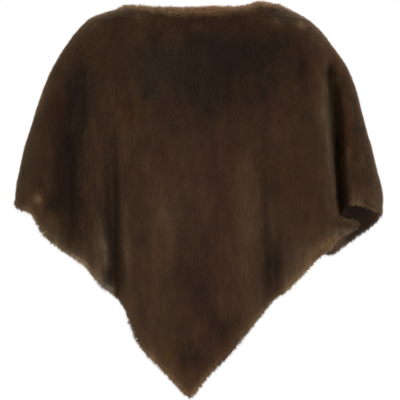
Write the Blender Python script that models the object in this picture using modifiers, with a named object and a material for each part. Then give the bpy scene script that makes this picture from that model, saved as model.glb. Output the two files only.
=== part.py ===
# A pull-on poncho in short-pile faux fur, in the form it takes on a standing figure with the
# arms a little out from the sides. It is sewn from two panels, front and back, which meet in a
# seam over each shoulder and arm. The neck is a straight boat neck and each panel falls to a point.
# Metres, +Z up. The front faces -Y and the wearer's left is +X. The origin is at the middle of
# the neck opening, level with the neck edge, where the wearer's shoulders carry the garment.

from collections import namedtuple
import math

import bpy
import bmesh
import numpy as np

WALL = 0.006                # knitted backing with its pile lying flat
SEAM_GAP = 0.0003           # clearance between the panels along the over-arm seams
FRONT_COLUMNS = 80          # strips of cloth across the front panel, with its deeper folds
BACK_COLUMNS = 46
ROWS = 17                   # strips of cloth from the neck edge to the hem
NECK_DIP = 0.012            # how far the neck edge sinks at the front and back
RISE_FADE = 0.025           # depth below the neck edge at which a third of a bump is left
HEM_ROUNDING = 0.003        # distance to each side over which the hem's corners are rounded

# Level rings through the worn garment. A ring reaches so far to each side of the origin. Its
# fullness pushes the rounded corners between front and side outward by that share, and its
# spread moves the strips of cloth away from the centre lines, so that they hang straight.
Ring = namedtuple("Ring", "height left right front back fullness spread")
RINGS = (
    Ring(0.000, 0.138, 0.147, 0.066, 0.068, -0.10, 0.30),     # neck edge
    Ring(-0.006, 0.158, 0.168, 0.076, 0.078, 0.04, 0.30),
    Ring(-0.013, 0.184, 0.183, 0.082, 0.086, 0.11, 0.31),
    Ring(-0.025, 0.210, 0.204, 0.091, 0.097, 0.20, 0.34),     # top of the shoulders
    Ring(-0.070, 0.249, 0.246, 0.106, 0.116, 0.32, 0.36),
    Ring(-0.130, 0.284, 0.283, 0.117, 0.126, 0.40, 0.32),     # chest and upper arms
    Ring(-0.220, 0.315, 0.309, 0.127, 0.130, 0.44, 0.17),
    Ring(-0.300, 0.337, 0.330, 0.131, 0.128, 0.44, 0.05),
    Ring(-0.360, 0.346, 0.342, 0.132, 0.125, 0.42, 0.00),     # elbows
    Ring(-0.500, 0.346, 0.342, 0.130, 0.121, 0.42, 0.00),
    Ring(-0.740, 0.346, 0.342, 0.118, 0.114, 0.42, 0.00),     # below the points
)

# Soft bumps on the front's neck edge: place across, half width and height.
Rise = namedtuple("Rise", "across half_width height")
RISES = (
    Rise(0.110, 0.023, 0.0105),     # towards the wearer's left shoulder
    Rise(0.028, 0.034, 0.0035),
)

# Heights of each panel's hem across its width, from the wearer's right arm to the left.
HemPoint = namedtuple("HemPoint", "across height")
FRONT_HEM = (
    HemPoint(-0.346, -0.364),       # side seam
    HemPoint(-0.338, -0.371),
    HemPoint(-0.325, -0.375),
    HemPoint(-0.313, -0.377),
    HemPoint(-0.302, -0.388),       # small step under the elbow
    HemPoint(-0.293, -0.405),
    HemPoint(-0.287, -0.4155),
    HemPoint(-0.256, -0.4415),
    HemPoint(-0.204, -0.477),
    HemPoint(-0.196, -0.489),
    HemPoint(-0.181, -0.507),
    HemPoint(-0.167, -0.519),
    HemPoint(-0.159, -0.523),
    HemPoint(-0.146, -0.538),       # foot of the narrow trough
    HemPoint(-0.137, -0.547),
    HemPoint(-0.130, -0.5565),
    HemPoint(-0.120, -0.584),
    HemPoint(-0.111, -0.612),
    HemPoint(-0.094, -0.636),
    HemPoint(-0.065, -0.663),
    HemPoint(-0.036, -0.697),
    HemPoint(-0.018, -0.716),       # centre-front point
    HemPoint(0.007, -0.681),
    HemPoint(0.051, -0.634),
    HemPoint(0.094, -0.581),
    HemPoint(0.138, -0.531),
    HemPoint(0.152, -0.523),
    HemPoint(0.181, -0.493),
    HemPoint(0.192, -0.481),
    HemPoint(0.210, -0.463),
    HemPoint(0.236, -0.443),        # lip of the deep crease beside the arm
    HemPoint(0.2455, -0.421),       # side of that crease, which shows under the arm
    HemPoint(0.250, -0.4115),
    HemPoint(0.2545, -0.403),
    HemPoint(0.258, -0.398),
    HemPoint(0.2605, -0.394),       # bottom of the crease
    HemPoint(0.264, -0.366),
    HemPoint(0.2745, -0.3635),      # flap over the arm
    HemPoint(0.280, -0.3615),
    HemPoint(0.293, -0.363),
    HemPoint(0.308, -0.367),
    HemPoint(0.325, -0.374),
    HemPoint(0.342, -0.381),        # side seam
)
BACK_HEM = (
    HemPoint(-0.346, -0.364),
    HemPoint(-0.340, -0.366),
    HemPoint(-0.330, -0.373),
    HemPoint(-0.318, -0.385),
    HemPoint(-0.155, -0.526),
    HemPoint(0.000, -0.680),        # centre-back point
    HemPoint(0.150, -0.525),
    HemPoint(0.215, -0.470),
    HemPoint(0.238, -0.456),
    HemPoint(0.258, -0.461),
    HemPoint(0.282, -0.441),
    HemPoint(0.308, -0.422),
    HemPoint(0.322, -0.410),
    HemPoint(0.333, -0.402),
    HemPoint(0.3395, -0.392),
    HemPoint(0.342, -0.381),
)

# Folds that hang down the panels. A positive depth is a trough, a negative one a ridge. The lean
# turns the foot of a trough away from straight in, towards the wearer's left, in degrees.
Fold = namedtuple("Fold", "top_across foot_across top foot half_width top_depth foot_depth lean")
LEAN_FROM = 0.845           # share of a fold's height at which its lean starts
LEAN_FULL = 0.925           # and is complete
FRONT_FOLDS = (
    Fold(-0.243, -0.241, -0.06, -0.46, 0.027, 0.026, 0.048, -8.0),      # between arm and body
    Fold(-0.165, -0.150, -0.17, -0.60, 0.012, 0.006, 0.028, 0.0),
    Fold(-0.196, -0.176, -0.22, -0.60, 0.014, -0.002, -0.009, 0.0),
    Fold(-0.146, -0.126, -0.20, -0.62, 0.014, -0.003, -0.009, 0.0),
    Fold(-0.073, -0.078, -0.24, -0.62, 0.022, -0.003, -0.007, 0.0),
    Fold(0.087, 0.080, -0.20, -0.64, 0.022, -0.003, -0.009, 0.0),
    Fold(0.122, 0.137, -0.20, -0.60, 0.015, 0.004, 0.024, 0.0),
    Fold(0.176, 0.184, -0.22, -0.60, 0.024, -0.002, -0.006, 0.0),
    Fold(0.214, 0.246, -0.08, -0.50, 0.012, -0.005, -0.010, 0.0),       # lip of the deep crease
    Fold(0.237, 0.2625, -0.07, -0.44, 0.013, 0.034, 0.075, 43.0),       # deep crease beside the arm
)
BACK_FOLDS = (
    Fold(-0.238, -0.246, -0.08, -0.50, 0.024, 0.024, 0.054, 6.0),       # between arm and body
    Fold(-0.186, -0.190, -0.20, -0.60, 0.018, -0.002, -0.007, 0.0),
    Fold(-0.118, -0.128, -0.18, -0.62, 0.016, 0.006, 0.034, 0.0),
    Fold(-0.062, -0.068, -0.24, -0.66, 0.024, -0.003, -0.009, 0.0),
    Fold(0.040, 0.046, -0.26, -0.68, 0.018, 0.003, 0.018, 0.0),
    Fold(0.128, 0.138, -0.18, -0.60, 0.015, 0.006, 0.034, 0.0),
    Fold(0.186, 0.192, -0.20, -0.60, 0.020, -0.002, -0.007, 0.0),
    Fold(0.240, 0.250, -0.08, -0.50, 0.022, 0.026, 0.058, -6.0),
)
FOLD_FADE = 0.09            # height over which a fold starts below its top
SEAM_EASE = 0.16            # share of the way to the front or back over which the folds begin
EVEN_HEIGHT = -0.360        # height at which the strips of cloth are equally wide

FUR_BROWN = (0.043, 0.025, 0.016, 1.0)
FUR_ROUGHNESS = 0.85
CUTTER_SIZE = 2.0           # longer than the garment
FINE_STEPS = 2000           # steps for measuring lengths along the cloth


def smooth_curve(heights, values, at):
    """Read a column of a table between its rows, with no overshoot."""
    order = np.argsort(heights)
    x = np.asarray(heights, float)[order]
    y = np.asarray(values, float)[order]
    step = np.diff(x)
    rise = np.diff(y) / step
    slope = np.zeros_like(y)
    slope[0], slope[-1] = rise[0], rise[-1]
    before, after = rise[:-1], rise[1:]
    onward = before * after > 0.0
    slope[1:-1][onward] = 2.0 * (before * after)[onward] / (before + after)[onward]
    at = np.clip(at, x[0], x[-1])
    row = np.clip(np.searchsorted(x, at) - 1, 0, len(x) - 2)
    t = (at - x[row]) / step[row]
    upper = (1 + 2 * t) * (1 - t) ** 2 * y[row] + t * (1 - t) ** 2 * step[row] * slope[row]
    lower = t ** 2 * (3 - 2 * t) * y[row + 1] + t ** 2 * (t - 1) * step[row] * slope[row + 1]
    return upper + lower


def smooth_step(share):
    """A soft step from 0 to 1 as the share goes from 0 to 1."""
    share = np.clip(share, 0.0, 1.0)
    return share * share * (3 - 2 * share)


def ring_size(column, height):
    """One size of the rings at each height."""
    heights = [ring.height for ring in RINGS]
    return smooth_curve(heights, [getattr(ring, column) for ring in RINGS], height)


def ring_point(angle, height):
    """Points of the smooth rings. Angle 0 is the right arm seam, pi/2 the front, pi the left seam."""
    across = -np.cos(angle)
    across = across * (1.0 + ring_size("spread", height) * (1.0 - across ** 2))
    half_width = (ring_size("left", height) + ring_size("right", height)) / 2
    half_width = half_width + across * (ring_size("right", height) - ring_size("left", height)) / 2
    reach = np.where(np.sin(angle) >= 0.0, -ring_size("front", height), ring_size("back", height))
    depth = np.sqrt(np.maximum(1.0 - across ** 2, 0.0))
    return half_width * across, reach * depth * (1.0 + ring_size("fullness", height) * across ** 2)


def fold_shift(folds, facing, x, height):
    """How far the folds of one panel move its points; facing is -1 on the front, 1 on the back."""
    shift_x = np.zeros_like(x)
    shift_y = np.zeros_like(x)
    for fold in folds:
        down = np.clip((fold.top - height) / (fold.top - fold.foot), 0.0, 1.0)
        start = smooth_step((fold.top - height) / FOLD_FADE)
        centre = fold.top_across + (fold.foot_across - fold.top_across) * down
        depth = start * (fold.top_depth + (fold.foot_depth - fold.top_depth) * down)
        inward = depth * np.exp(-((x - centre) / fold.half_width) ** 2)
        lean = math.radians(fold.lean) * smooth_step((down - LEAN_FROM) / (LEAN_FULL - LEAN_FROM))
        shift_x += inward * np.sin(lean)
        shift_y -= facing * inward * np.cos(lean)
    return shift_x, shift_y


def cloth_point(angle, height):
    """Points of the garment's outer face."""
    x, y = ring_point(angle, height)
    front_x, front_y = fold_shift(FRONT_FOLDS, -1, x, height)
    back_x, back_y = fold_shift(BACK_FOLDS, 1, x, height)
    on_front = np.sin(angle) > 0.0
    ease = np.clip(np.abs(np.sin(angle)) / SEAM_EASE, 0.0, 1.0)
    x = x + ease * np.where(on_front, front_x, back_x)
    y = y + ease * np.where(on_front, front_y, back_y)
    bump = sum(rise.height * np.exp(-((x - rise.across) / rise.half_width) ** 2) for rise in RISES)
    rise = bump * np.exp(height / RISE_FADE)
    return np.stack([x, y, height + on_front * rise], axis=-1)


def neck_height(angle):
    """Height of the neck edge above each column of cloth."""
    return -NECK_DIP * np.sin(angle) ** 4


def hem_height(angle):
    """Height of the hem below each column of cloth."""
    x, _ = ring_point(angle, np.full_like(angle, EVEN_HEIGHT))
    offsets = (-HEM_ROUNDING, 0.0, HEM_ROUNDING)
    heights = np.zeros_like(x)
    for offset in offsets:
        front = np.interp(x + offset, [p.across for p in FRONT_HEM], [p.height for p in FRONT_HEM])
        back = np.interp(x + offset, [p.across for p in BACK_HEM], [p.height for p in BACK_HEM])
        heights += np.where(np.sin(angle) >= 0.0, front, back) / len(offsets)
    return heights


def equal_lengths(points, values, count):
    """The values at which a line of points splits into so many equal lengths."""
    steps = np.linalg.norm(np.diff(points, axis=0), axis=1)
    length = np.concatenate([[0.0], np.cumsum(steps)])
    return np.interp(np.linspace(0.0, length[-1], count + 1), length, values)


def column_angles(start, end, count):
    """Angles that split the cloth between two seams into strips of equal width."""
    fine = np.linspace(start, end, FINE_STEPS)
    return equal_lengths(cloth_point(fine, np.full_like(fine, EVEN_HEIGHT)), fine, count)[:-1]


def column_heights(angle, neck, hem):
    """Heights that split one strip into equal lengths, from the neck edge to the hem."""
    fine = neck + (hem - neck) * np.linspace(0.0, 1.0, FINE_STEPS) ** 2
    x, y = ring_point(np.full_like(fine, angle), fine)
    return equal_lengths(np.stack([x, y, fine], axis=-1), fine, ROWS)


def cloth_surface(name):
    """The garment's outer face as an open mesh, lofted down from the neck edge to the hem."""
    angles = np.concatenate([
        column_angles(0.0, math.pi, FRONT_COLUMNS),
        column_angles(math.pi, 2.0 * math.pi, BACK_COLUMNS),
    ])
    bm = bmesh.new()
    columns = []
    for angle, neck, hem in zip(angles, neck_height(angles), hem_height(angles)):
        heights = column_heights(angle, neck, hem)
        points = cloth_point(np.full_like(heights, angle), heights)
        columns.append([bm.verts.new(point) for point in points])
    for column, following in zip(columns, columns[1:] + columns[:1]):
        for row in range(ROWS):
            bm.faces.new((column[row], column[row + 1], following[row + 1], following[row]))
    mesh = bpy.data.meshes.new(name)
    bm.to_mesh(mesh)
    bm.free()
    mesh.shade_smooth()
    return mesh


def fur_material(name):
    material = bpy.data.materials.new(name)
    material.use_nodes = True
    shader = material.node_tree.nodes["Principled BSDF"]
    shader.inputs["Base Color"].default_value = FUR_BROWN
    shader.inputs["Roughness"].default_value = FUR_ROUGHNESS
    shader.inputs["Metallic"].default_value = 0.0
    return material


def seam_cutter(name, facing, collection):
    """A box over everything on one side of the over-arm seams, which lie in the plane Y = 0."""
    middle = facing * (CUTTER_SIZE + SEAM_GAP) / 2
    bpy.ops.mesh.primitive_cube_add(size=CUTTER_SIZE, location=(0.0, middle, 0.0))
    cutter = bpy.context.object
    cutter.name = name
    cutter.hide_render = True
    cutter.display_type = 'WIRE'
    for owner in list(cutter.users_collection):
        owner.objects.unlink(cutter)
    collection.objects.link(cutter)
    return cutter


def panel(name, surface, cutter, collection):
    """One sewn panel: its side of the cloth surface, given the thickness of the fur cloth."""
    piece = bpy.data.objects.new(name, surface.copy())
    collection.objects.link(piece)
    piece.data.materials.append(fur_material(name + " fur"))
    wall = piece.modifiers.new("cloth wall", 'SOLIDIFY')
    wall.thickness = WALL
    wall.offset = -1.0
    side = piece.modifiers.new("side of the seams", 'BOOLEAN')
    side.operation = 'INTERSECT'
    side.object = cutter
    return piece


def main():
    for old in list(bpy.data.objects):
        bpy.data.objects.remove(old)
    garment = bpy.data.collections.new("poncho")
    cutters = bpy.data.collections.new("cutters")
    bpy.context.scene.collection.children.link(garment)
    bpy.context.scene.collection.children.link(cutters)
    surface = cloth_surface("poncho surface")
    panel("front", surface, seam_cutter("front side", -1, cutters), garment)
    panel("back", surface, seam_cutter("back side", 1, cutters), garment)


main()
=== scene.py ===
# A pull-on poncho in short-pile faux fur, in the form it has when worn. Two panels of thin
# knitted cloth, front and back, meet in a seam over each shoulder and arm, and tufts of pile
# cover their outer face. Metres, +Z up, the front faces -Y. Made in Blender 4.5.

import math
import bpy
import numpy as np
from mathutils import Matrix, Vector


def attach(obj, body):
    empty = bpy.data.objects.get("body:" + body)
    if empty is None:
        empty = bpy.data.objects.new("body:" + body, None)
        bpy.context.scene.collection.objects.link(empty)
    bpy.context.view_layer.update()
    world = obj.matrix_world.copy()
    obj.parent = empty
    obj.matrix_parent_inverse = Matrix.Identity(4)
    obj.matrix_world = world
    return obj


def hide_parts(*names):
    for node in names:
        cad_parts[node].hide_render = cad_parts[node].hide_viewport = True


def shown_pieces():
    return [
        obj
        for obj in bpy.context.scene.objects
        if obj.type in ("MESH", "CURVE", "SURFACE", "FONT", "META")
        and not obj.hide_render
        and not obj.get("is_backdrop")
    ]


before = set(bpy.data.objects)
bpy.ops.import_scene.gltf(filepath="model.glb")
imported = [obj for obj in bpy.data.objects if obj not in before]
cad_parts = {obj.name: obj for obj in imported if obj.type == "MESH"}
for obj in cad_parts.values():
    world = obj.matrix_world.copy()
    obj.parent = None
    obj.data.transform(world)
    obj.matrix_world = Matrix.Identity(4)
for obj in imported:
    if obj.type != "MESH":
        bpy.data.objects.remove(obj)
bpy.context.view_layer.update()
scene = bpy.context.scene
print("frame loaded:", sorted(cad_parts))


# Small helpers

def addNode(tree, kind, inputs=(), **settings):
    made = tree.nodes.new(kind)
    for name, value in settings.items():
        setattr(made, name, value)
    for key, value in dict(inputs).items():
        if isinstance(key, int):
            socket = made.inputs[key]
        else:
            socket = next(s for s in made.inputs if s.name == key and s.enabled)
        if isinstance(value, bpy.types.NodeSocket):
            tree.links.new(value, socket)
        else:
            socket.default_value = value
    return made


def out(node, name=None):
    return next(s for s in node.outputs if s.enabled and name in (None, s.name))


def calculate(tree, operation, first, second=0.0, third=0.0):
    kind = "ShaderNodeMath"
    return out(addNode(tree, kind, {0: first, 1: second, 2: third}, operation=operation))


def mixColour(tree, factor, first, second, blend='MIX'):
    inputs = {0: factor, 6: first, 7: second}
    return addNode(tree, "ShaderNodeMix", inputs, data_type='RGBA', blend_type=blend).outputs[2]


def addObject(name, data):
    made = bpy.data.objects.new(name, data)
    scene.collection.objects.link(made)
    return made


# Camera, floor and light

view = {
    "place": (0.0, -3.2, -0.361),  # level, straight in front
    "lens": 153.2,
    "sensor": 36.0,
}
room = {
    "floorHeight": -1.45,  # where a standing wearer's feet would be
    "floorSize": 80.0,
    "floorColour": (0.93, 0.93, 0.93, 1.0),
    "floorRoughness": 0.9,
    "white": (1.0, 1.0, 1.0, 1.0),  # colour of the glow and of the surroundings
    "floorGlow": 0.50,  # lifts the floor, as seen, to the white around it
    "skySeen": 1.0,  # brightness of the white surroundings as seen
    "skyLight": 0.55,  # brightness of the light that they give
}
lamps = {  # place, aim, width, height, watts
    "keyLamp": ((1.6, -2.6, -0.35), (0.0, 0.0, -0.38), 1.4, 1.6, 41.0),
    "fillLamp": ((-1.8, -2.4, -0.45), (0.0, 0.0, -0.38), 1.4, 1.6, 32.0),
    "rightLamp": ((2.8, 0.3, -0.2), (0.2, 0.0, -0.30), 1.2, 1.6, 20.0),
    "leftLamp": ((-2.8, 0.3, -0.2), (-0.2, 0.0, -0.30), 1.2, 1.6, 14.0),
    "topLamp": ((0.3, 1.1, 1.7), (0.0, 0.0, -0.10), 1.8, 1.2, 36.0),
    "backLamp": ((0.4, 3.0, -0.2), (0.0, 0.0, -0.38), 2.0, 1.8, 40.0),
}


def makeRoom():
    camera = addObject("camera", bpy.data.cameras.new("camera"))
    camera.data.lens = view["lens"]
    camera.data.sensor_width = view["sensor"]
    camera.location = view["place"]
    camera.rotation_euler = (math.radians(90.0), 0.0, 0.0)
    scene.camera = camera

    half = room["floorSize"] / 2
    corners = [(-half, -half), (half, -half), (half, half), (-half, half)]
    mesh = bpy.data.meshes.new("floor")
    mesh.from_pydata([(x, y, room["floorHeight"]) for x, y in corners], [], [(0, 1, 2, 3)])
    floor = addObject("floor", mesh)
    paint = bpy.data.materials.new("floorPaint")
    paint.use_nodes = True
    tree = paint.node_tree
    shader = tree.nodes["Principled BSDF"]
    shader.inputs["Base Color"].default_value = room["floorColour"]
    shader.inputs["Roughness"].default_value = room["floorRoughness"]
    shader.inputs["Emission Color"].default_value = room["white"]
    seen = out(addNode(tree, "ShaderNodeLightPath"), "Is Camera Ray")
    glow = calculate(tree, 'MULTIPLY', room["floorGlow"], seen)
    tree.links.new(glow, shader.inputs["Emission Strength"])
    mesh.materials.append(paint)
    floor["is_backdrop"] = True

    for name, (place, aim, width, height, watts) in lamps.items():
        lamp = addObject(name, bpy.data.lights.new(name, 'AREA'))
        lamp.data.shape = 'RECTANGLE'
        lamp.data.size, lamp.data.size_y, lamp.data.energy = width, height, watts
        lamp.location = place
        heading = Vector(aim) - Vector(place)
        lamp.rotation_euler = heading.to_track_quat('-Z', 'Y').to_euler()
        lamp.visible_camera = False

    world = bpy.data.worlds.new("whiteRoom")
    world.use_nodes = True
    tree = world.node_tree
    seen = out(addNode(tree, "ShaderNodeLightPath"), "Is Camera Ray")
    inputs = {0: seen, 2: room["skyLight"], 3: room["skySeen"]}
    strength = addNode(tree, "ShaderNodeMix", inputs, data_type='FLOAT')
    back = tree.nodes["Background"]
    back.inputs["Color"].default_value = room["white"]
    tree.links.new(strength.outputs[0], back.inputs["Strength"])
    scene.world = world
    scene.view_settings.view_transform = 'Standard'
    scene.view_settings.look = 'None'


makeRoom()
print("room made")


# The form that the cloth takes

form = {
    # Level rings: height, reach to the left, right, front and back, fullness of the corners
    # between front and side, and spread of the cloth away from the centre lines.
    "rings": (
        (0, 0.138, 0.147, 0.066, 0.068, -0.1, 0.3),  # neck edge
        (-0.006, 0.158, 0.168, 0.076, 0.078, 0.04, 0.3),
        (-0.013, 0.184, 0.183, 0.082, 0.086, 0.11, 0.31),
        (-0.025, 0.21, 0.204, 0.091, 0.097, 0.2, 0.34),  # top of the shoulders
        (-0.07, 0.249, 0.246, 0.106, 0.116, 0.32, 0.36),
        (-0.13, 0.284, 0.283, 0.117, 0.126, 0.4, 0.32),  # chest and upper arms
        (-0.22, 0.315, 0.309, 0.127, 0.13, 0.44, 0.17),
        (-0.3, 0.337, 0.33, 0.131, 0.128, 0.44, 0.05),
        (-0.36, 0.346, 0.342, 0.132, 0.125, 0.42, 0),  # elbows
        (-0.5, 0.346, 0.342, 0.13, 0.121, 0.42, 0),
        (-0.74, 0.346, 0.342, 0.118, 0.114, 0.42, 0),  # below the points
    ),
    "neckDip": 0.012,
    # Soft bumps on the front's neck edge: place across, half width, height
    "rises": ((0.11, 0.023, 0.0105), (0.028, 0.034, 0.0035)),
    "riseFade": 0.025,  # how far down they reach
    "hemRounding": 0.003,
    "foldFade": 0.09,
    "seamEase": 0.16,
    "leanFrom": 0.845,  # share of a fold's height at which its lean starts
    "leanFull": 0.925,  # and is complete
    "evenHeight": -0.36,  # height at which the cloth's strips are equally wide
    # Hem of each panel, from the right arm to the left: place across, height
    "frontHem": (
        (-0.346, -0.364), (-0.338, -0.371), (-0.325, -0.375), (-0.313, -0.377),
        (-0.302, -0.388), (-0.293, -0.405), (-0.287, -0.4155), (-0.256, -0.4415),
        (-0.204, -0.477), (-0.196, -0.489), (-0.181, -0.507), (-0.167, -0.519),
        (-0.159, -0.523), (-0.146, -0.538), (-0.137, -0.547), (-0.13, -0.5565),
        (-0.12, -0.584), (-0.111, -0.612), (-0.094, -0.636),
        (-0.065, -0.663), (-0.036, -0.697), (-0.018, -0.716), (0.007, -0.681),
        (0.051, -0.634), (0.094, -0.581), (0.138, -0.531), (0.152, -0.523),
        (0.181, -0.493), (0.192, -0.481), (0.21, -0.463), (0.236, -0.443), (0.2455, -0.421),
        (0.25, -0.4115), (0.2545, -0.403), (0.258, -0.398), (0.2605, -0.394),
        (0.264, -0.366), (0.2745, -0.3635), (0.28, -0.3615), (0.293, -0.363), (0.308, -0.367),
        (0.325, -0.374), (0.342, -0.381),
    ),
    "backHem": (
        (-0.346, -0.364), (-0.34, -0.366), (-0.33, -0.373), (-0.318, -0.385),
        (-0.155, -0.526), (0, -0.68), (0.15, -0.525), (0.215, -0.47), (0.238, -0.456),
        (0.258, -0.461), (0.282, -0.441), (0.308, -0.422), (0.322, -0.41), (0.333, -0.402),
        (0.3395, -0.392), (0.342, -0.381),
    ),
    # Folds: place across at the top and foot, height of the top and foot, half width, depth
    # at the top and foot, and lean in degrees. A negative depth is a ridge.
    "frontFolds": (
        (-0.243, -0.241, -0.06, -0.46, 0.027, 0.026, 0.048, -8),  # arm to body
        (-0.165, -0.15, -0.17, -0.6, 0.012, 0.006, 0.028, 0),
        (-0.196, -0.176, -0.22, -0.6, 0.014, -0.002, -0.009, 0),
        (-0.146, -0.126, -0.2, -0.62, 0.014, -0.003, -0.009, 0),
        (-0.073, -0.078, -0.24, -0.62, 0.022, -0.003, -0.007, 0),
        (0.087, 0.08, -0.2, -0.64, 0.022, -0.003, -0.009, 0),
        (0.122, 0.137, -0.2, -0.6, 0.015, 0.004, 0.024, 0),
        (0.176, 0.184, -0.22, -0.6, 0.024, -0.002, -0.006, 0),
        (0.214, 0.246, -0.08, -0.5, 0.012, -0.005, -0.01, 0),  # lip of the crease
        (0.237, 0.2625, -0.07, -0.44, 0.013, 0.034, 0.075, 43),  # deep crease
    ),
    "backFolds": (
        (-0.238, -0.246, -0.08, -0.5, 0.024, 0.024, 0.054, 6),  # arm to body
        (-0.186, -0.19, -0.2, -0.6, 0.018, -0.002, -0.007, 0),
        (-0.118, -0.128, -0.18, -0.62, 0.016, 0.006, 0.034, 0),
        (-0.062, -0.068, -0.24, -0.66, 0.024, -0.003, -0.009, 0),
        (0.04, 0.046, -0.26, -0.68, 0.018, 0.003, 0.018, 0),
        (0.128, 0.138, -0.18, -0.6, 0.015, 0.006, 0.034, 0),
        (0.186, 0.192, -0.2, -0.6, 0.02, -0.002, -0.007, 0),
        (0.24, 0.25, -0.08, -0.5, 0.022, 0.026, 0.058, -6),
    ),
    # Short soft dents and ridges: middle across and its height, half width, half length,
    # tilt in degrees, and depth.
    "frontDents": (
        (-0.004, -0.505, 0.014, 0.04, 8, 0.004), (0.046, -0.588, 0.018, 0.026, -20, 0.005),
        (0, -0.612, 0.007, 0.026, 35, -0.004), (-0.196, -0.3, 0.016, 0.06, 6, 0.004),
        (0.188, -0.33, 0.014, 0.05, -10, 0.003), (-0.296, -0.19, 0.018, 0.05, 20, 0.003),
        (0.3, -0.25, 0.02, 0.06, -8, 0.004), (0.02, -0.25, 0.03, 0.06, 15, 0.003),
        (-0.11, -0.12, 0.03, 0.05, -30, 0.003),
    ),
    "backDents": (
        (0.01, -0.47, 0.016, 0.045, -8, 0.004), (-0.04, -0.59, 0.018, 0.026, 20, 0.004),
        (0.19, -0.31, 0.016, 0.06, -6, 0.004), (-0.17, -0.33, 0.014, 0.05, 10, 0.003),
        (-0.02, -0.24, 0.03, 0.06, -15, 0.003), (0.11, -0.12, 0.03, 0.05, 30, 0.003),
        (0.3, -0.22, 0.02, 0.06, -12, 0.004), (-0.3, -0.26, 0.02, 0.06, 12, 0.004),
    ),
    "fineSteps": 2000,  # steps for measuring lengths along the cloth
}
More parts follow.
